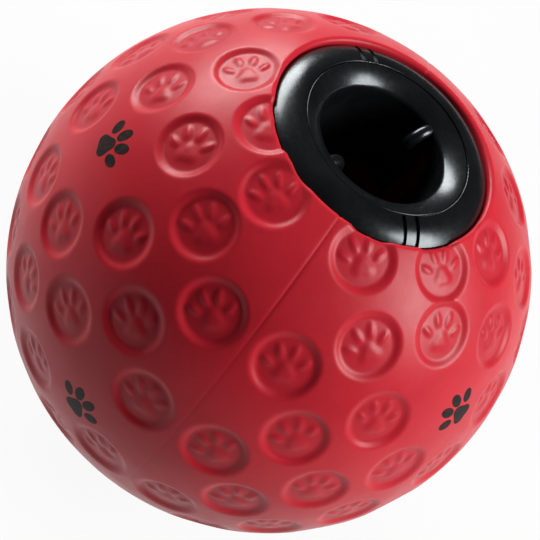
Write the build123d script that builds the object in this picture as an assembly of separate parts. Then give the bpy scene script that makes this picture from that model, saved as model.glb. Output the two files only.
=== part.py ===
from build123d import *
import math
import os

# Soft ball, in millimetres
BALL_DIAMETER = 140.0
WALL_THICKNESS = 4.0

# Seam between the two half shells
TONGUE_THICKNESS = 1.4
TONGUE_DEPTH = 1.6
TONGUE_ROOT = 0.8
TONGUE_CLEARANCE = 0.1
TONGUE_MOUTH_GAP = 3.0

# Soft lip and recess around the mouth
RECESS_GAP = 0.3
RECESS_DEPTH = 2.7
RECESS_EDGE_ROUND = 1.0
LIP_THICKNESS = 3.6

# Throat sleeve
THROAT_RADIUS = 16.6
SLEEVE_WALL = 1.9
SLEEVE_LENGTH = 28.0
SLEEVE_LIP_HEIGHT = 3.7
SLEEVE_LIP_WIDTH = 5.0
SLEEVE_LIP_OUTER_ROUND = 0.2
SLEEVE_FLANK_RADIUS = 12.0
SLEEVE_FLANK_TILT = 18.0
THROAT_EDGE_ROUND = 1.6

# Curved prongs of the sleeve
PRONG_AZIMUTHS = (61.5, 241.5)
PRONG_DIAMETER = 3.2
PRONG_DROP = 4.0
PRONG_STRAIGHT = 0.2
PRONG_BEND_RADIUS = 4.0
PRONG_BEND_ANGLE = 85.0

# Mouth ring
BEAD_HEIGHT = 3.3
BEAD_INNER_ROUND = 0.2
CROWN_WIDTH = 0.7
BEAD_FLANK_WIDTH = 6.0
BEAD_FLANK_RADIUS = 9.5
BEAD_FOOT_HEIGHT = 0.6
LEDGE_DROP = 4.0
LEDGE_THICKNESS = 1.8
BARREL_WALL = 1.8
BARB_REACH = 0.9
BARB_HEIGHT = 1.2

# Grips across the bead, each a land between two grooves
GRIP_AZIMUTHS = (127.5, 307.5)
GRIP_LAND_WIDTH = 2.4
GRIP_GROOVE_WIDTH = 1.1
GRIP_GROOVE_DEPTH = 0.7

# Retaining ring
RETAINER_WIDTH = 6.0
RETAINER_THICKNESS = 3.0
RETAINER_FIT = 0.05

# Clearances of the moving pieces
TURN_CLEARANCE = 0.3
SLIDE_CLEARANCE = 0.2
AXIAL_PLAY = 0.1

# Round dishes in the ball: rows at an angle from the seam, each with its count and first angle
DISH_RADIUS = 8.2
DISH_FLOOR_RADIUS = 6.6
DISH_DEPTH = 0.9
DISH_CUT_OVERRUN = 1.0
DISH_ROWS = (
    (8.3, 15, 5.2),
    (19.0, 15, 17.2),
    (31.2, 15, 5.2),
    (45.3, 15, 17.2),
    (60.8, 10, 29.3),
    (76.0, 5, 11.3),
)
# Dishes that the recess cuts into: side of the seam, angle from the seam, angle along it
COLLAR_DISHES = (
    (1, 8.0, 28.6),
    (1, 22.6, 19.0),
    (-1, 12.0, 28.6),
    (-1, 20.5, 16.9),
)
# Side of the seam, row and place of the flat spots that carry a print instead of a dish
PRINT_SPOTS = ((1, 3, 1), (-1, 3, 1), (1, 3, 9), (-1, 3, 9), (-1, 1, 3))

# Radii that follow from the sizes above, from the throat outwards
ball_radius = BALL_DIAMETER / 2
cavity_radius = ball_radius - WALL_THICKNESS
tube_radius = THROAT_RADIUS + SLEEVE_WALL
sleeve_lip_radius = THROAT_RADIUS + SLEEVE_LIP_WIDTH
ring_bore_radius = sleeve_lip_radius + SLIDE_CLEARANCE
crown_radius = ring_bore_radius + BEAD_INNER_ROUND + CROWN_WIDTH
ring_radius = crown_radius + BEAD_FLANK_WIDTH
barrel_radius = ring_bore_radius + BARREL_WALL
lip_hole_radius = barrel_radius + TURN_CLEARANCE
recess_radius = ring_radius + RECESS_GAP

# Heights above the ball's centre
recess_edge_height = math.sqrt(ball_radius**2 - recess_radius**2)
seat_height = recess_edge_height - RECESS_DEPTH
lip_under = seat_height - LIP_THICKNESS
ring_under = seat_height + AXIAL_PLAY
foot_height = ring_under + BEAD_FOOT_HEIGHT
crown_height = ring_under + BEAD_HEIGHT
ledge_height = crown_height - LEDGE_DROP
retainer_top = lip_under - AXIAL_PLAY
retainer_under = retainer_top - RETAINER_THICKNESS
barb_top = retainer_under - AXIAL_PLAY
barrel_end = barb_top - BARB_HEIGHT
sleeve_seat = ledge_height + AXIAL_PLAY
sleeve_top = sleeve_seat + SLEEVE_LIP_HEIGHT
sleeve_end = sleeve_top - SLEEVE_LENGTH


def at(radius, height):
    """Point of a section through the mouth's axis."""
    return Vector(radius, 0, height)


def arc(centre, radius, start, end):
    """Arc of a section, from one angle to another in degrees."""
    angles = [math.radians(angle) for angle in (start, (start + end) / 2, end)]
    points = [at(centre[0] + radius * math.cos(a), centre[1] + radius * math.sin(a)) for a in angles]
    return ThreePointArc(*points)


def section(*stretches):
    """Closed section through a row of points and arcs, joined by straight lines."""
    edges = []
    ends = []
    for stretch in stretches:
        if isinstance(stretch, Vector):
            ends.append((stretch, stretch))
        else:
            edges.append(stretch)
            ends.append((stretch @ 0, stretch @ 1))
    for before, after in zip(ends, ends[1:] + ends[:1]):
        if (after[0] - before[1]).length > 1e-6:
            edges.append(Line(before[1], after[0]))
    return make_face(edges)


def bead_flank(inset):
    """The bead's broad outer flank from its crown to its foot, drawn back by an inset."""
    drop = crown_height - foot_height
    chord = math.hypot(BEAD_FLANK_WIDTH, drop)
    reach = math.sqrt(BEAD_FLANK_RADIUS**2 - (chord / 2) ** 2) / chord
    centre_radius = crown_radius + BEAD_FLANK_WIDTH / 2 - reach * drop
    centre_height = crown_height - drop / 2 - reach * BEAD_FLANK_WIDTH
    radius = BEAD_FLANK_RADIUS - inset
    crown_angle = math.degrees(math.asin((crown_height - inset - centre_height) / radius))
    foot_angle = math.degrees(math.asin((foot_height - centre_height) / radius))
    return arc((centre_radius, centre_height), radius, crown_angle, foot_angle)


def sleeve_lip():
    """The sleeve's lip: its edge at the throat, its broad inner flank and its outer round."""
    tilt = 90 + SLEEVE_FLANK_TILT
    outer = (sleeve_lip_radius - SLEEVE_LIP_OUTER_ROUND, sleeve_top - SLEEVE_LIP_OUTER_ROUND)
    reach = SLEEVE_FLANK_RADIUS - SLEEVE_LIP_OUTER_ROUND
    flank_radius = outer[0] - reach * math.cos(math.radians(tilt))
    flank_height = outer[1] - reach * math.sin(math.radians(tilt))
    edge_radius = THROAT_RADIUS + THROAT_EDGE_ROUND
    across = edge_radius - flank_radius
    rise = math.sqrt((SLEEVE_FLANK_RADIUS - THROAT_EDGE_ROUND) ** 2 - across**2)
    turn = math.degrees(math.atan2(rise, across))
    return (
        arc((edge_radius, flank_height + rise), THROAT_EDGE_ROUND, 180, turn),
        arc((flank_radius, flank_height), SLEEVE_FLANK_RADIUS, turn, tilt),
        arc(outer, SLEEVE_LIP_OUTER_ROUND, tilt, 0),
    )


def shell_half():
    """Half of the hollow ball on the +Y side, with the mouth's recess and soft lip."""
    edge_angle = math.degrees(math.acos(recess_radius / ball_radius))
    cavity_edge_angle = math.degrees(math.asin(lip_under / cavity_radius))
    outline = section(
        arc((0, 0), ball_radius, -90, edge_angle),
        at(recess_radius, seat_height),
        at(lip_hole_radius, seat_height),
        at(lip_hole_radius, lip_under),
        arc((0, 0), cavity_radius, cavity_edge_angle, -90),
    )
    edge = outline.vertices().sort_by_distance(at(recess_radius, recess_edge_height))[0]
    outline = fillet(edge, RECESS_EDGE_ROUND)
    return revolve(outline, Axis.Z, 180)


def dish_cutter():
    """Tool for one dish at the top of the ball, with a floor that follows the ball."""
    floor_radius = ball_radius - DISH_DEPTH
    floor_angle = math.degrees(math.acos(DISH_FLOOR_RADIUS / floor_radius))
    rim_height = math.sqrt(ball_radius**2 - DISH_RADIUS**2)
    top = ball_radius + DISH_CUT_OVERRUN
    outline = section(
        arc((0, 0), floor_radius, 90, floor_angle),
        at(DISH_RADIUS, rim_height),
        at(DISH_RADIUS + DISH_CUT_OVERRUN, top),
        at(0, top),
    )
    return revolve(outline, Axis.Z)


def dish_places(side):
    """Angles from the seam and along it of the dishes on one side of the seam."""
    recess_angle = math.degrees(math.asin(recess_radius / ball_radius))
    dish_angle = math.degrees(math.asin(DISH_RADIUS / ball_radius))
    places = [(across, along) for which, across, along in COLLAR_DISHES if which == side]
    for row, (across, count, first) in enumerate(DISH_ROWS):
        for place in range(count):
            along = first + 360 / count * place
            height = math.cos(math.radians(across)) * math.cos(math.radians(along))
            from_mouth = math.degrees(math.acos(height))
            if from_mouth > recess_angle + dish_angle and (side, row, place) not in PRINT_SPOTS:
                places.append((across, along))
    places.append((90, 0))
    return places


def dishes(side):
    """Dish tools of one half shell, turned to their places."""
    cutter = dish_cutter()
    return [Rot(X=along) * Rot(Y=side * across) * cutter for across, along in dish_places(side)]


def seam_ring(clearance):
    """Ring along the seam, inside the wall, that keeps clear of the mouth."""
    middle = ball_radius - WALL_THICKNESS / 2
    half = TONGUE_THICKNESS / 2 + clearance
    depth = TONGUE_DEPTH + clearance
    outline = section(
        at(-depth, middle - half),
        at(TONGUE_ROOT, middle - half),
        at(TONGUE_ROOT, middle + half),
        at(-depth, middle + half),
    )
    mouth = Cylinder(
        recess_radius + TONGUE_MOUTH_GAP - clearance,
        BALL_DIAMETER,
        align=(Align.CENTER, Align.CENTER, Align.MIN),
    )
    return revolve(outline, Axis.X) - mouth


def right_half_shell():
    return Rot(Z=-90) * shell_half() + seam_ring(0) - dishes(1)


def left_half_shell():
    return Rot(Z=90) * shell_half() - [seam_ring(TONGUE_CLEARANCE)] - dishes(-1)


def grip_grooves():
    """Grooves on both sides of each grip, as deep all over the bead's crown and flank."""
    floor = bead_flank(GRIP_GROOVE_DEPTH)
    core = revolve(
        section(
            at(ring_bore_radius, ring_under),
            at(ring_bore_radius, crown_height - GRIP_GROOVE_DEPTH),
            floor,
            at((floor @ 1).X, ring_under),
        ),
        Axis.Z,
    )
    slab = Box(
        ring_radius,
        GRIP_GROOVE_WIDTH,
        BEAD_HEIGHT,
        align=(Align.MIN, Align.CENTER, Align.MIN),
    )
    offset = (GRIP_LAND_WIDTH + GRIP_GROOVE_WIDTH) / 2
    slabs = [
        Rot(Z=azimuth) * Pos(ring_bore_radius, side * offset, ring_under) * slab
        for azimuth in GRIP_AZIMUTHS
        for side in (-1, 1)
    ]
    return [each - core for each in slabs]


def mouth_ring():
    bead_bore_centre = (ring_bore_radius + BEAD_INNER_ROUND, crown_height - BEAD_INNER_ROUND)
    outline = section(
        at(barrel_radius, ring_under),
        at(barrel_radius, barb_top),
        at(barrel_radius + BARB_REACH, barb_top),
        at(barrel_radius + BARB_REACH, barrel_end),
        at(barrel_radius - BARREL_WALL, barrel_end),
        at(barrel_radius - BARREL_WALL, ledge_height - LEDGE_THICKNESS),
        at(tube_radius + SLIDE_CLEARANCE, ledge_height - LEDGE_THICKNESS),
        at(tube_radius + SLIDE_CLEARANCE, ledge_height),
        at(ring_bore_radius, ledge_height),
        arc(bead_bore_centre, BEAD_INNER_ROUND, 180, 90),
        bead_flank(0),
        at(ring_radius, ring_under),
    )
    return revolve(outline, Axis.Z) - grip_grooves()


def retaining_ring():
    inner = barrel_radius + RETAINER_FIT
    outline = section(
        at(inner, retainer_under),
        at(inner + RETAINER_WIDTH, retainer_under),
        at(inner + RETAINER_WIDTH, retainer_top),
        at(inner, retainer_top),
    )
    return revolve(outline, Axis.Z)


def prong():
    """Curved finger that leaves the sleeve's wall level and bends down into the ball."""
    height = sleeve_top - PRONG_DROP
    bend = THROAT_RADIUS - PRONG_STRAIGHT
    run = Line(at(THROAT_RADIUS + SLEEVE_WALL / 2, height), at(bend, height))
    turn = arc((bend, height - PRONG_BEND_RADIUS), PRONG_BEND_RADIUS, 90, 90 + PRONG_BEND_ANGLE)
    path = Wire([run, turn])
    thickness = Plane(run @ 0, z_dir=run % 0) * Circle(PRONG_DIAMETER / 2)
    return sweep(thickness, path) + Pos(turn @ 1) * Sphere(PRONG_DIAMETER / 2)


def throat_sleeve():
    outline = section(
        at(THROAT_RADIUS, sleeve_end),
        *sleeve_lip(),
        at(sleeve_lip_radius, sleeve_seat),
        at(tube_radius, sleeve_seat),
        at(tube_radius, sleeve_end),
    )
    finger = prong()
    return revolve(outline, Axis.Z) + [Rot(Z=azimuth) * finger for azimuth in PRONG_AZIMUTHS]


PIECES = {
    "left_half_shell": left_half_shell,
    "right_half_shell": right_half_shell,
    "mouth_ring": mouth_ring,
    "retaining_ring": retaining_ring,
    "throat_sleeve": throat_sleeve,
}

# The ball stands on the origin, with its mouth up
os.makedirs("parts", exist_ok=True)
for name, make in PIECES.items():
    export_step(Pos(0, 0, ball_radius) * make(), f"parts/{name}.step")
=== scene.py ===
import math

import bpy
import numpy as np
from mathutils import Matrix, Vector


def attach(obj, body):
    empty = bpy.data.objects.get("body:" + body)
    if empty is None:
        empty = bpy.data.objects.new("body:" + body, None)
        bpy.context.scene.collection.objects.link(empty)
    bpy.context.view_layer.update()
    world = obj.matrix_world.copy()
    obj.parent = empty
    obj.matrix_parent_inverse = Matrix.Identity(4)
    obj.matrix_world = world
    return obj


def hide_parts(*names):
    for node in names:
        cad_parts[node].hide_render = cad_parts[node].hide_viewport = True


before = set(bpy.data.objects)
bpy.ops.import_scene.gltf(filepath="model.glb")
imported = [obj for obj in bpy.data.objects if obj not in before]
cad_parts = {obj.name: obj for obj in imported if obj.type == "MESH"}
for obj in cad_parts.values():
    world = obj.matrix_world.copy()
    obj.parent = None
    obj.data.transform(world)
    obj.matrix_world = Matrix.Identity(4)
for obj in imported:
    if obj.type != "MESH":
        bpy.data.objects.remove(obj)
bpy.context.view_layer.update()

# Ball and the soft lip of its mouth, in metres
BALL_RADIUS = 0.070
WALL = 0.004
LIP_HOLE_RADIUS = 0.0239
LIP_THICKNESS = 0.0036
RECESS_RADIUS = 0.0290
RECESS_DEPTH = 0.0027
RECESS_EDGE_ROUND = 0.0010
RECESS_CORNER_ROUND = 0.0002

# Heights above the ball's centre: the recess's edge, its seat and the underside of the lip
RECESS_EDGE = math.sqrt(BALL_RADIUS**2 - RECESS_RADIUS**2)
SEAT = RECESS_EDGE - RECESS_DEPTH
LIP_UNDER = SEAT - LIP_THICKNESS

CENTRE = Vector((0, 0, BALL_RADIUS))
UP = np.array((0.0, 0.0, 1.0))

# Groove along the seam of the two halves, which fades between two angles from the mouth
SEAM_HALF_WIDTH = 0.00070
SEAM_DEPTH = 0.00014
SEAM_FAINT_SHARE = 0.25
SEAM_FADE = (38.0, 60.0)

# Round dishes: radius of the rim and of the floor, and the rounded share at each end of the wall
DISH_RIM = 0.0083
DISH_FLOOR = 0.0064
DISH_DEPTH = 0.00096
DISH_ROUNDING = 0.2

# Rows of dishes as (angle from the seam, count, first angle along it)
DISH_ROWS = (
    (8.3, 15, 5.2),
    (19.0, 15, 17.2),
    (31.2, 15, 5.2),
    (45.3, 15, 17.2),
    (60.8, 10, 29.3),
    (76.0, 5, 11.3),
)

# Single dishes by the mouth as (side, angle from the seam, angle along it)
COLLAR_DISHES = ((1, 8.0, 28.6), (1, 22.6, 19.0), (-1, 12.0, 28.6), (-1, 20.5, 16.9))

# Radius of a dish in the solids: a row leaves out the dishes that would reach over the recess
DISH_CAD_RADIUS = 0.0082

# Raised paw in each dish: a pad, and toes as (sideways, forwards, half width, half length, lean)
PAW_HEIGHT = 0.00034
PAW_LEAN = 35.0
PAW_LEAN_SPREAD = 20.0
PAW_SEED = 7
PAD_CENTRE = (0.0, -0.0019)
PAD_RADIUS = 0.0026
PAD_CORNERS = 0.16
TOES = (
    (-0.0043, 0.0006, 0.00095, 0.00195, 50.0),
    (-0.0017, 0.0032, 0.00100, 0.00215, 16.0),
    (0.0017, 0.0032, 0.00100, 0.00215, -16.0),
    (0.0043, 0.0006, 0.00095, 0.00195, -50.0),
)

# Shares of a pad's or toe's outline between which its side falls away
PAW_EDGE = (0.38, 1.22)

# Dishes that make room for printed paws, as (side, row, place)
PRINT_SPOTS = ((1, 3, 1), (-1, 3, 1), (1, 3, 9), (-1, 3, 9), (-1, 1, 3))

# Printed paws as (name, side, angle from the seam, angle along it, lean)
PRINTS = (
    ("printed_paw_right", 1, 49.0, 41.0, 90.0),
    ("printed_paw_left", -1, 46.5, 38.5, -58.0),
    ("printed_paw_low_left", -1, 17.5, 93.0, -8.0),
    ("printed_paw_back_right", 1, 45.3, 233.2, 35.0),
    ("printed_paw_back_left", -1, 45.3, 233.2, 35.0),
)

# A print's size beside a raised paw, its ink above and below the ball's surface, and its resolution
PRINT_SCALE = 1.05
PRINT_TOE_WIDTH = 1.35
PRINT_PROUD = 0.00004
PRINT_SUNK = 0.00006
PRINT_SIDES = 40
PRINT_RINGS = 4

# Skin of the ball, a hair inside the solid
SKIN_INSET = 0.00001

# Columns of the skin from the seam to the middle of a half, and how far the first lie from the seam
SKIN_COLUMNS = 140
SEAM_COLUMNS = (0.0, 0.00015, 0.00030, 0.00045, 0.00060, 0.00075)

# Rows of the skin: steps above and below an angle from the mouth, and the angle that ends them
UPPER_STEP = 0.00052
LOWER_STEP = 0.00075
STEP_CHANGE = 100.0
LAST_ANGLE = 179.8
INNER_STEPS = 16

# Points across the seat of the recess, round its corner, up its wall, over its edge and under the lip
SEAT_POINTS = 7
CORNER_POINTS = 6
WALL_POINTS = 3
EDGE_POINTS = 12
LIP_POINTS = 4

# Radians past the recess's edge over which the relief turns from straight down to inwards
RELIEF_TURN = 0.09

# Degrees between two faces past which their edge is sharp
CREASE = 40.0

# Levels between which most of a noise lies
NOISE_SPAN = (0.3, 0.7)

# Sockets of a Mix node for the share and the two colours, and for the colour that it gives
MIX_SHARE = 0
MIX_BELOW = 6
MIX_OVER = 7
MIX_RESULT = 2

# Red vinyl: colours of its mottling and flecks, and the painted shade in its dishes, with the share
# of the last two, and its gloss
VINYL_DARK = (0.50, 0.016, 0.028)
VINYL_LIGHT = (0.60, 0.020, 0.035)
VINYL_FLECK = (0.36, 0.010, 0.019)
VINYL_FLECK_SHARE = 0.10
VINYL_DISH_SHADE = (0.40, 0.012, 0.025)
VINYL_DISH_SHADE_SHARE = 0.35
VINYL_ROUGHNESS = (0.34, 0.42)
VINYL_SPECULAR = 0.22

# Black plastic: colours of its mottling, and its gloss with a cool tint
PLASTIC_DARK = (0.0030, 0.0034, 0.0040)
PLASTIC_LIGHT = (0.0070, 0.0076, 0.0084)
PLASTIC_ROUGHNESS = (0.21, 0.28)
PLASTIC_SPECULAR = 0.5
PLASTIC_TINT = (0.88, 0.97, 1.0, 1)

# Black ink: colours where it is whole and where it is worn, the noise levels for them, and its gloss
INK_WHOLE = (0.008, 0.006, 0.006)
INK_WORN = (0.060, 0.022, 0.022)
INK_WEAR = (0.45, 0.75)
INK_ROUGHNESS = (0.42, 0.60)
INK_SPECULAR = 0.12

# Floor: its grey under the lamps, the share of plain white that is seen, and its size
FLOOR_DARK = (0.53, 0.53, 0.53)
FLOOR_LIGHT = (0.57, 0.57, 0.57)
FLOOR_ROUGHNESS = 0.8
FLOOR_SPECULAR = 0.1
FLOOR_WHITE_SHARE = 0.93
FLOOR_REACH = 8.0
FLOOR_SIDES = 64

# Softboxes as (name, direction as right, up and to the camera, width, height, watts), and the room
SOFTBOXES = (
    ("softbox_right", (0.88, -0.15, 0.45), 0.30, 0.40, 5.9),
    ("softbox_top", (-0.13, 0.96, 0.07), 0.50, 0.26, 6.7),
)
SOFTBOX_DISTANCE = 0.70
ROOM_LIGHT = 0.03
WHITE = (1, 1, 1, 1)

# Camera of the photograph, whose frame is a square of 540 pixels
CAMERA_DISTANCE = 0.350
CAMERA_AZIMUTH = -7.14
CAMERA_ELEVATION = 48.89
CAMERA_ROLL = 41.91
CAMERA_LENS = 85.83
CAMERA_SENSOR = 36.0
CAMERA_NEAREST = 0.01

# How far the camera stands right of and above the line through the ball's centre
CAMERA_ASIDE = (0.00029, 0.00016)


def smooth(low, high, value):
    """Soft step from 0 at low to 1 at high."""
    t = np.clip((value - low) / (high - low), 0, 1)
    return t * t * (3 - 2 * t)


def slope(low, high, rounding, value):
    """Straight slope from 0 at low to 1 at high, rounded over a share of it at each end."""
    t = np.clip((value - low) / (high - low), 0, 1)
    foot = t**2 / (2 * rounding)
    head = 1 - rounding - (1 - t) ** 2 / (2 * rounding)
    height = np.where(t < rounding, foot, t - rounding / 2)
    return np.where(t > 1 - rounding, head, height) / (1 - rounding)


def fill(tree, shader_node, inputs):
    """Gives a node's inputs their values or links."""
    for name, value in inputs.items():
        if isinstance(value, bpy.types.NodeSocket):
            tree.links.new(value, shader_node.inputs[name])
        else:
            shader_node.inputs[name].default_value = value


def node(tree, kind, inputs=None, **settings):
    """A shader node with its settings and the values or links of its inputs."""
    made = tree.nodes.new(kind)
    for name, value in settings.items():
        setattr(made, name, value)
    fill(tree, made, inputs or {})
    return made


def new_material(name):
    """A material with a bare Principled shader, its node tree and that shader."""
    material = bpy.data.materials.new(name)
    material.use_nodes = True
    tree = material.node_tree
    tree.nodes.clear()
    shader = node(tree, "ShaderNodeBsdfPrincipled")
    output = node(tree, "ShaderNodeOutputMaterial", {"Surface": shader.outputs["BSDF"]})
    output.is_active_output = True
    return material, tree, shader


def noise(tree, scale, detail=3.0, roughness=0.5):
    """Solid noise over the object, with scale in cycles a metre."""
    place = node(tree, "ShaderNodeTexCoord").outputs["Object"]
    inputs = {"Vector": place, "Scale": scale, "Detail": detail, "Roughness": roughness}
    return node(tree, "ShaderNodeTexNoise", inputs).outputs[0]


def remap(tree, value, levels, span=NOISE_SPAN):
    """A value spread from its span to two levels."""
    inputs = {"Value": value, "From Min": span[0], "From Max": span[1]}
    inputs.update({"To Min": levels[0], "To Max": levels[1]})
    return node(tree, "ShaderNodeMapRange", inputs).outputs[0]


def ramp(tree, value, colours, span=NOISE_SPAN):
    """A value's span turned into a run from one colour to another."""
    made = node(tree, "ShaderNodeValToRGB", {"Fac": value})
    for element, place, colour in zip(made.color_ramp.elements, span, colours):
        element.position = place
        element.color = (*colour, 1)
    return made.outputs["Color"]


def lay_over(tree, share, below, colour):
    """A colour laid over others by a share."""
    inputs = {MIX_SHARE: share, MIX_BELOW: below, MIX_OVER: (*colour, 1)}
    return node(tree, "ShaderNodeMix", inputs, data_type="RGBA").outputs[MIX_RESULT]


def bump(tree, height, strength, distance, before=None):
    """Fine relief of a surface, over any relief before it."""
    inputs = {"Height": height, "Strength": strength, "Distance": distance}
    if before is not None:
        inputs["Normal"] = before
    return node(tree, "ShaderNodeBump", inputs).outputs["Normal"]


def red_vinyl():
    """Soft moulded vinyl: mottled red, with painted shade that darkens the dishes, a satin skin with
    fine grain.
    """
    material, tree, shader = new_material("red_vinyl")
    clouds = noise(tree, scale=45, detail=4, roughness=0.55)
    flecks = remap(tree, noise(tree, scale=700, detail=2), (0, VINYL_FLECK_SHARE))
    # Painted shade: the share of each point that lies in a dish darkens the vinyl there.
    dish_shade = node(tree, "ShaderNodeAttribute", attribute_name="dish").outputs["Fac"]
    dish_shade = remap(tree, dish_shade, (0, VINYL_DISH_SHADE_SHARE), (0, 1))
    colour = ramp(tree, clouds, (VINYL_DARK, VINYL_LIGHT))
    colour = lay_over(tree, flecks, colour, VINYL_FLECK)
    colour = lay_over(tree, dish_shade, colour, VINYL_DISH_SHADE)
    streaks = remap(tree, noise(tree, scale=160), VINYL_ROUGHNESS)
    swell = bump(tree, noise(tree, scale=240), strength=0.08, distance=0.0005)
    grain = noise(tree, scale=2600, detail=2)
    relief = bump(tree, grain, strength=0.06, distance=0.0001, before=swell)
    fill(tree, shader, {"Base Color": colour, "Roughness": streaks, "Normal": relief})
    fill(tree, shader, {"Specular IOR Level": VINYL_SPECULAR})
    return material


def black_plastic():
    """Glossy moulded plastic: near black, with a faint ripple and fine handling marks."""
    material, tree, shader = new_material("black_plastic")
    colour = ramp(tree, noise(tree, scale=120), (PLASTIC_DARK, PLASTIC_LIGHT))
    marks = remap(tree, noise(tree, scale=900, detail=4, roughness=0.7), PLASTIC_ROUGHNESS)
    ripple = bump(tree, noise(tree, scale=180, detail=2), strength=0.10, distance=0.0004)
    grain = noise(tree, scale=3000, detail=2)
    relief = bump(tree, grain, strength=0.02, distance=0.00005, before=ripple)
    fill(tree, shader, {"Base Color": colour, "Roughness": marks, "Normal": relief})
    fill(tree, shader, {"Specular IOR Level": PLASTIC_SPECULAR, "Specular Tint": PLASTIC_TINT})
    return material


def black_ink():
    """Printed ink on the vinyl, a little broken and worn."""
    material, tree, shader = new_material("black_ink")
    wear = noise(tree, scale=1100, detail=4, roughness=0.6)
    colour = ramp(tree, wear, (INK_WHOLE, INK_WORN), INK_WEAR)
    matt = remap(tree, wear, INK_ROUGHNESS)
    relief = bump(tree, wear, strength=0.15, distance=0.0001)
    fill(tree, shader, {"Base Color": colour, "Roughness": matt, "Normal": relief})
    fill(tree, shader, {"Specular IOR Level": INK_SPECULAR})
    return material


def mesh_piece(name, points, faces, material):
    """An object from points and faces, smooth but for edges sharper than the crease."""
    mesh = bpy.data.meshes.new(name)
    mesh.from_pydata([tuple(p) for p in points], [], faces)
    mesh.materials.append(material)
    mesh.validate()
    mesh.shade_smooth()
    mesh.set_sharp_from_angle(angle=math.radians(CREASE))
    made = bpy.data.objects.new(name, mesh)
    bpy.context.collection.objects.link(made)
    return made


def grid_faces(rows, columns, first=0, flip=False):
    """Quads of a grid of points that is stored row by row."""
    at = first + np.arange(rows * columns).reshape(rows, columns)
    corners = (at[:-1, :-1], at[1:, :-1], at[1:, 1:], at[:-1, 1:])
    if flip:
        corners = corners[::-1]
    return np.stack([c.ravel() for c in corners], 1).tolist()


def arc(centre, radius, start, end, count):
    """Points of a section along an arc, from one angle to another in degrees."""
    angles = np.radians(np.linspace(start, end, count))
    return [(centre[0] + radius * math.cos(a), centre[1] + radius * math.sin(a)) for a in angles]


def dish_direction(side, across, along):
    """From the ball's centre to a place at an angle from the seam and along it."""
    a, b = math.radians(across), math.radians(along)
    return np.array((side * math.sin(a), -math.cos(a) * math.sin(b), math.cos(a) * math.cos(b)))


def row_direction(along):
    """Back along a row, which is towards the mouth on the near side."""
    b = math.radians(along)
    return np.array((0.0, math.cos(b), math.sin(b)))


def dish_places():
    """Side of the seam, angle from it and angle along it of each dish."""
    keep_clear = math.asin(RECESS_RADIUS / BALL_RADIUS) + math.asin(DISH_CAD_RADIUS / BALL_RADIUS)
    places = list(COLLAR_DISHES)
    for side in (1, -1):
        for row, (across, count, first) in enumerate(DISH_ROWS):
            for place in range(count):
                along = first + 360 / count * place
                from_mouth = math.acos(dish_direction(side, across, along)[2])
                if from_mouth > keep_clear and (side, row, place) not in PRINT_SPOTS:
                    places.append((side, across, along))
        places.append((side, 90.0, 0.0))
    return places


def paw_frame(side, across, along, lean):
    """Outward, toe and sideways directions of a paw that leans from its row."""
    out = dish_direction(side, across, along)
    forward = row_direction(along)
    turned = np.cross(out, forward)
    a = math.radians(lean)
    toes = math.cos(a) * forward + math.sin(a) * turned
    return out, toes, np.cross(toes, out)


def pad_radius(angle):
    """Outline of the pad, a rounded triangle with one corner to the toes."""
    return PAD_RADIUS * (1 + PAD_CORNERS * np.cos(3 * (angle - math.pi / 2)))


def paw_relief(sideways, forwards):
    """Height of the raised paw, from 0 to 1, at places in a dish."""
    u, v = sideways - PAD_CENTRE[0], forwards - PAD_CENTRE[1]
    share = np.hypot(u, v) / pad_radius(np.arctan2(v, u))
    height = 1 - smooth(*PAW_EDGE, share)
    for x, y, half_width, half_length, lean in TOES:
        a = math.radians(lean)
        u = (sideways - x) * math.cos(a) + (forwards - y) * math.sin(a)
        v = (forwards - y) * math.cos(a) - (sideways - x) * math.sin(a)
        share = np.hypot(u / half_width, v / half_length)
        height = np.maximum(height, 1 - smooth(*PAW_EDGE, share))
    return height


def skin_relief(directions):
    """Depth of the skin below the ball, and from 0 to 1 how far it lies in a dish, which sets the
    painted shade there.
    """
    random = np.random.default_rng(PAW_SEED)
    from_mouth = np.degrees(np.arccos(directions[:, 2]))
    depth = SEAM_DEPTH * (1 - (1 - SEAM_FAINT_SHARE) * smooth(*SEAM_FADE, from_mouth))
    depth *= 1 - smooth(0, SEAM_HALF_WIDTH, np.abs(directions[:, 0]) * BALL_RADIUS)
    dish_shade = np.zeros(len(directions))
    for place in dish_places():
        lean = PAW_LEAN + random.uniform(-PAW_LEAN_SPREAD, PAW_LEAN_SPREAD)
        out, toes, sideways = paw_frame(*place, lean)
        near = np.flatnonzero(directions @ out > math.cos(DISH_RIM / BALL_RADIUS))
        u = BALL_RADIUS * directions[near] @ sideways
        v = BALL_RADIUS * directions[near] @ toes
        floor = 1 - slope(DISH_FLOOR, DISH_RIM, DISH_ROUNDING, np.hypot(u, v))
        sunk = DISH_DEPTH * floor - PAW_HEIGHT * paw_relief(u, v)
        depth[near] = np.maximum(depth[near], sunk)
        dish_shade[near] = np.maximum(dish_shade[near], floor)
    return depth, dish_shade


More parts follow.
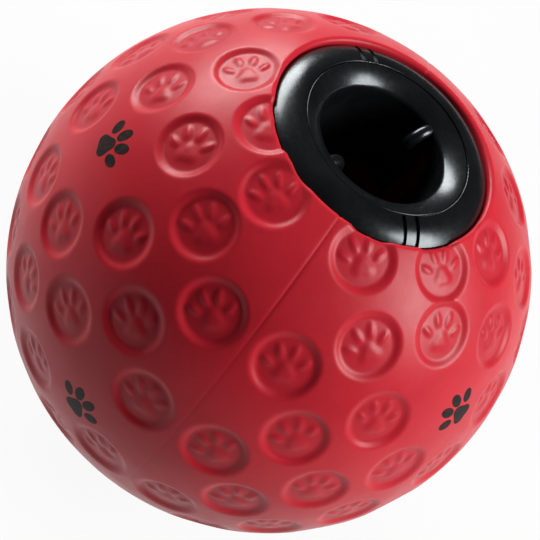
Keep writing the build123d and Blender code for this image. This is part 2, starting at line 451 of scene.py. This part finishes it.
def outer_profile():
    """Rows of radius, height and share of the relief, from lip to bottom, and the edge's angle."""
    corner = (RECESS_RADIUS - RECESS_CORNER_ROUND, SEAT + RECESS_CORNER_ROUND)
    edge_r = RECESS_RADIUS + RECESS_EDGE_ROUND
    edge_h = math.sqrt((BALL_RADIUS - RECESS_EDGE_ROUND) ** 2 - edge_r**2)
    edge_angle = math.degrees(math.atan2(edge_r, edge_h))
    rows = [(LIP_HOLE_RADIUS, LIP_UNDER, 0), (LIP_HOLE_RADIUS, SEAT, 0)]
    rows += [(r, SEAT, 0) for r in np.linspace(LIP_HOLE_RADIUS, corner[0], SEAT_POINTS)[1:-1]]
    rows += [(r, h, 0) for r, h in arc(corner, RECESS_CORNER_ROUND, -90, 0, CORNER_POINTS)]
    wall = np.linspace(corner[1], edge_h, WALL_POINTS)
    rows += [(RECESS_RADIUS, h, (h - corner[1]) / (edge_h - corner[1])) for h in wall[1:-1]]
    edge = arc((edge_r, edge_h), RECESS_EDGE_ROUND, 180, 90 - edge_angle, EDGE_POINTS)
    rows += [(r, h, 1) for r, h in edge]
    upper = np.arange(edge_angle, STEP_CHANGE, math.degrees(UPPER_STEP / BALL_RADIUS))[1:]
    lower = np.arange(STEP_CHANGE, LAST_ANGLE, math.degrees(LOWER_STEP / BALL_RADIUS))
    for angle in np.radians(np.concatenate([upper, lower])):
        rows.append((BALL_RADIUS * math.sin(angle), BALL_RADIUS * math.cos(angle), 1))
    return np.array(rows), math.radians(edge_angle)


def inner_profile():
    """Radius and height of each row inside the ball, from the lip's hole to the bottom."""
    hollow = BALL_RADIUS - WALL
    rim = math.sqrt(hollow**2 - LIP_UNDER**2)
    rows = [(r, LIP_UNDER) for r in np.linspace(LIP_HOLE_RADIUS, rim, LIP_POINTS)[1:]]
    angles = np.linspace(math.atan2(rim, LIP_UNDER), math.pi, INNER_STEPS + 1)[1:-1]
    return np.array(rows + [(hollow * math.sin(a), hollow * math.cos(a)) for a in angles])


def half_azimuths(middle):
    """Azimuths of a half's columns, in degrees, closer together beside the seam."""
    near = np.degrees(np.array(SEAM_COLUMNS) / BALL_RADIUS)
    far = np.linspace(near[-1], 90, SKIN_COLUMNS - len(near) + 1)[1:]
    offsets = 90 - np.concatenate([near, far])
    return middle + np.concatenate([-offsets, offsets[-2::-1]])


def swept(profile, around):
    """Points of a section at each direction around the mouth's axis, row by row."""
    points = profile[:, 0, None, None] * around + profile[:, 1, None, None] * UP
    return points.reshape(-1, 3)


def outer_skin(around):
    """Points of the dished outside of a half, and from 0 to 1 how far each lies in a dish, for the
    painted shade there.
    """
    profile, edge_angle = outer_profile()
    points = swept(profile, around)
    directions = points / np.linalg.norm(points, axis=1)[:, None]
    depth, dish_shade = skin_relief(directions)
    angle = np.arccos(directions[:, 2])
    inwards = smooth(edge_angle, edge_angle + RELIEF_TURN, angle)[:, None]
    way = inwards * directions + (1 - inwards) * UP
    share = np.repeat(profile[:, 2], len(around))
    return points - ((depth + SKIN_INSET) * share)[:, None] * way, dish_shade * share


def skin_faces(rows, inner_rows, columns):
    """Faces of a half: outside and inside, then the lip and both poles, then the flat seam."""
    first_inner = rows * columns
    outer_pole = first_inner + inner_rows * columns
    inner_pole = outer_pole + 1
    faces = grid_faces(rows, columns)
    faces += grid_faces(inner_rows, columns, first_inner, flip=True)
    for k in range(columns - 1):
        faces.append([k, k + 1, first_inner + k + 1, first_inner + k])
        last = first_inner - columns + k
        faces.append([last, outer_pole, last + 1])
        last = outer_pole - columns + k
        faces.append([last + 1, inner_pole, last])
    for column, turn in ((0, 1), (columns - 1, -1)):
        outside = [i * columns + column for i in range(rows)] + [outer_pole]
        back = [first_inner + i * columns + column for i in range(inner_rows)] + [inner_pole]
        faces.append((outside + back[::-1])[::-turn])
    return faces


def half_shell(name, middle, material):
    """One half of the ball as a closed skin: dished outside, plain inside, flat at the seam."""
    azimuths = np.radians(half_azimuths(middle))
    around = np.stack([np.cos(azimuths), np.sin(azimuths), np.zeros_like(azimuths)], 1)
    outer, dish_shade = outer_skin(around)
    inner = swept(inner_profile(), around)
    poles = np.array(((0, 0, -BALL_RADIUS), (0, 0, WALL - BALL_RADIUS)))
    points = np.concatenate([outer, inner, poles]) + np.array(CENTRE)
    columns = len(around)
    faces = skin_faces(len(outer) // columns, len(inner) // columns, columns)
    piece = mesh_piece(name, points, faces, material)
    # The dish share goes on the points as the mask for the painted shade in the dishes.
    values = np.zeros(len(points), np.float32)
    values[: len(dish_shade)] = dish_shade
    layer = piece.data.attributes.new("dish", "FLOAT", "POINT")
    layer.data.foreach_set("value", values)
    return piece


def paw_outlines():
    """Middle and outline of the pad and of each toe, as places sideways and forwards."""
    angles = np.linspace(0, 2 * math.pi, PRINT_SIDES, endpoint=False)
    around = np.stack([np.cos(angles), np.sin(angles)], 1)
    outlines = [(np.array(PAD_CENTRE), pad_radius(angles)[:, None] * around)]
    for x, y, half_width, half_length, lean in TOES:
        a = math.radians(lean)
        wide = PRINT_TOE_WIDTH * half_width * np.array((math.cos(a), math.sin(a)))
        long = half_length * np.array((-math.sin(a), math.cos(a)))
        outlines.append((np.array((x, y)), around[:, :1] * wide + around[:, 1:] * long))
    return outlines


def printed_paw(name, place, lean, material):
    """A paw of thin ink that follows the ball, each pad and toe a closed skin."""
    out, toes, sideways = paw_frame(*place, lean)
    shares = np.linspace(0, 1, PRINT_RINGS + 1)[1:]
    under = PRINT_RINGS * PRINT_SIDES
    points, faces = [], []
    for middle, outline in paw_outlines():
        first = len(points)
        flat = np.concatenate([middle[None]] + [middle + share * outline for share in shares])
        flat = PRINT_SCALE * np.concatenate([flat, middle + outline, middle[None]])
        spread = BALL_RADIUS * out + flat[:, :1] * sideways + flat[:, 1:] * toes
        height = np.full(len(flat), BALL_RADIUS + PRINT_PROUD)
        height[-PRINT_SIDES - 1 :] = BALL_RADIUS - PRINT_SUNK
        spread *= (height / np.linalg.norm(spread, axis=1))[:, None]
        points += (spread + np.array(CENTRE)).tolist()
        last = first + len(flat) - 1
        for k in range(PRINT_SIDES):
            near, far = first + 1 + k, first + 1 + (k + 1) % PRINT_SIDES
            faces.append([first, near, far])
            for step in range(0, under, PRINT_SIDES):
                onward = step + PRINT_SIDES
                faces.append([near + step, near + onward, far + onward, far + step])
            faces.append([near + under, last, far + under])
    return mesh_piece(name, points, faces, material)


def place_camera():
    """The camera at the photograph's angle, and its right, up and back directions."""
    angles = (CAMERA_AZIMUTH, CAMERA_ELEVATION, CAMERA_ROLL)
    azimuth, elevation, roll = (math.radians(angle) for angle in angles)
    level = Vector((math.cos(azimuth), math.sin(azimuth), 0))
    outward = Vector((math.sin(azimuth), -math.cos(azimuth), 0))
    back = math.cos(elevation) * outward + math.sin(elevation) * Vector(UP)
    upright = back.cross(level)
    right = math.cos(roll) * level + math.sin(roll) * upright
    up = math.cos(roll) * upright - math.sin(roll) * level
    data = bpy.data.cameras.new("camera")
    data.lens = CAMERA_LENS
    data.sensor_width = CAMERA_SENSOR
    data.clip_start = CAMERA_NEAREST
    made = bpy.data.objects.new("camera", data)
    bpy.context.collection.objects.link(made)
    made.matrix_world = Matrix((right, up, back)).transposed().to_4x4()
    aside = CAMERA_ASIDE[0] * right + CAMERA_ASIDE[1] * up
    made.location = CENTRE + CAMERA_DISTANCE * back + aside
    bpy.context.scene.camera = made
    return right, up, back


def softbox(name, direction, width, height, watts, axes):
    """A rectangular lamp that faces the ball, at a direction along the camera's axes."""
    data = bpy.data.lights.new(name, "AREA")
    data.shape = "RECTANGLE"
    data.size = width
    data.size_y = height
    data.energy = watts
    made = bpy.data.objects.new(name, data)
    bpy.context.collection.objects.link(made)
    way = sum((axis * share for axis, share in zip(axes, direction)), Vector()).normalized()
    made.location = CENTRE + SOFTBOX_DISTANCE * way
    made.rotation_euler = way.to_track_quat("Z", "Y").to_euler()


def combine(tree, operation, first, second, **settings):
    """The sum or product of two values."""
    inputs = {0: first, 1: second}
    return node(tree, "ShaderNodeMath", inputs, operation=operation, **settings).outputs[0]


def white_floor():
    """A pale floor that is white to the camera and in reflections, and keeps a soft shadow."""
    material, tree, shader = new_material("floor")
    shade = ramp(tree, noise(tree, scale=6), (FLOOR_DARK, FLOOR_LIGHT))
    fill(tree, shader, {"Base Color": shade, "Roughness": FLOOR_ROUGHNESS})
    fill(tree, shader, {"Specular IOR Level": FLOOR_SPECULAR})
    white = node(tree, "ShaderNodeEmission", {"Color": WHITE, "Strength": 1.0})
    path = node(tree, "ShaderNodeLightPath").outputs
    seen = combine(tree, "ADD", path["Is Camera Ray"], path["Is Glossy Ray"])
    seen = combine(tree, "ADD", seen, path["Is Transmission Ray"])
    share = combine(tree, "MULTIPLY", seen, FLOOR_WHITE_SHARE, use_clamp=True)
    both = node(tree, "ShaderNodeMixShader", {0: share, 1: shader.outputs[0], 2: white.outputs[0]})
    output = next(n for n in tree.nodes if n.type == "OUTPUT_MATERIAL")
    fill(tree, output, {"Surface": both.outputs[0]})
    angles = np.linspace(0, 2 * math.pi, FLOOR_SIDES, endpoint=False)
    ring = [(FLOOR_REACH * math.cos(a), FLOOR_REACH * math.sin(a), 0) for a in angles]
    floor = mesh_piece("floor", ring, [list(range(FLOOR_SIDES))], material)


def studio(axes):
    """Two large softboxes and a dim room."""
    world = bpy.data.worlds.new("room")
    world.use_nodes = True
    background = world.node_tree.nodes["Background"]
    fill(world.node_tree, background, {"Color": WHITE, "Strength": ROOM_LIGHT})
    bpy.context.scene.world = world
    for lamp in SOFTBOXES:
        softbox(*lamp, axes)


vinyl = red_vinyl()
plastic = black_plastic()
ink = black_ink()

for name, middle in (("right_half_shell", 0.0), ("left_half_shell", 180.0)):
    skin = half_shell(name + "_skin", middle, vinyl)
    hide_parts(name)
    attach(skin, "ball")

for name, side, across, along, lean in PRINTS:
    paw = printed_paw(name, (side, across, along), lean, ink)
    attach(paw, "ball")

for name in ("mouth_ring", "retaining_ring", "throat_sleeve"):
    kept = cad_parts[name]
    kept.data.materials.clear()
    kept.data.materials.append(plastic)

white_floor()
studio(place_camera())
bpy.context.scene.view_settings.view_transform = "Standard"
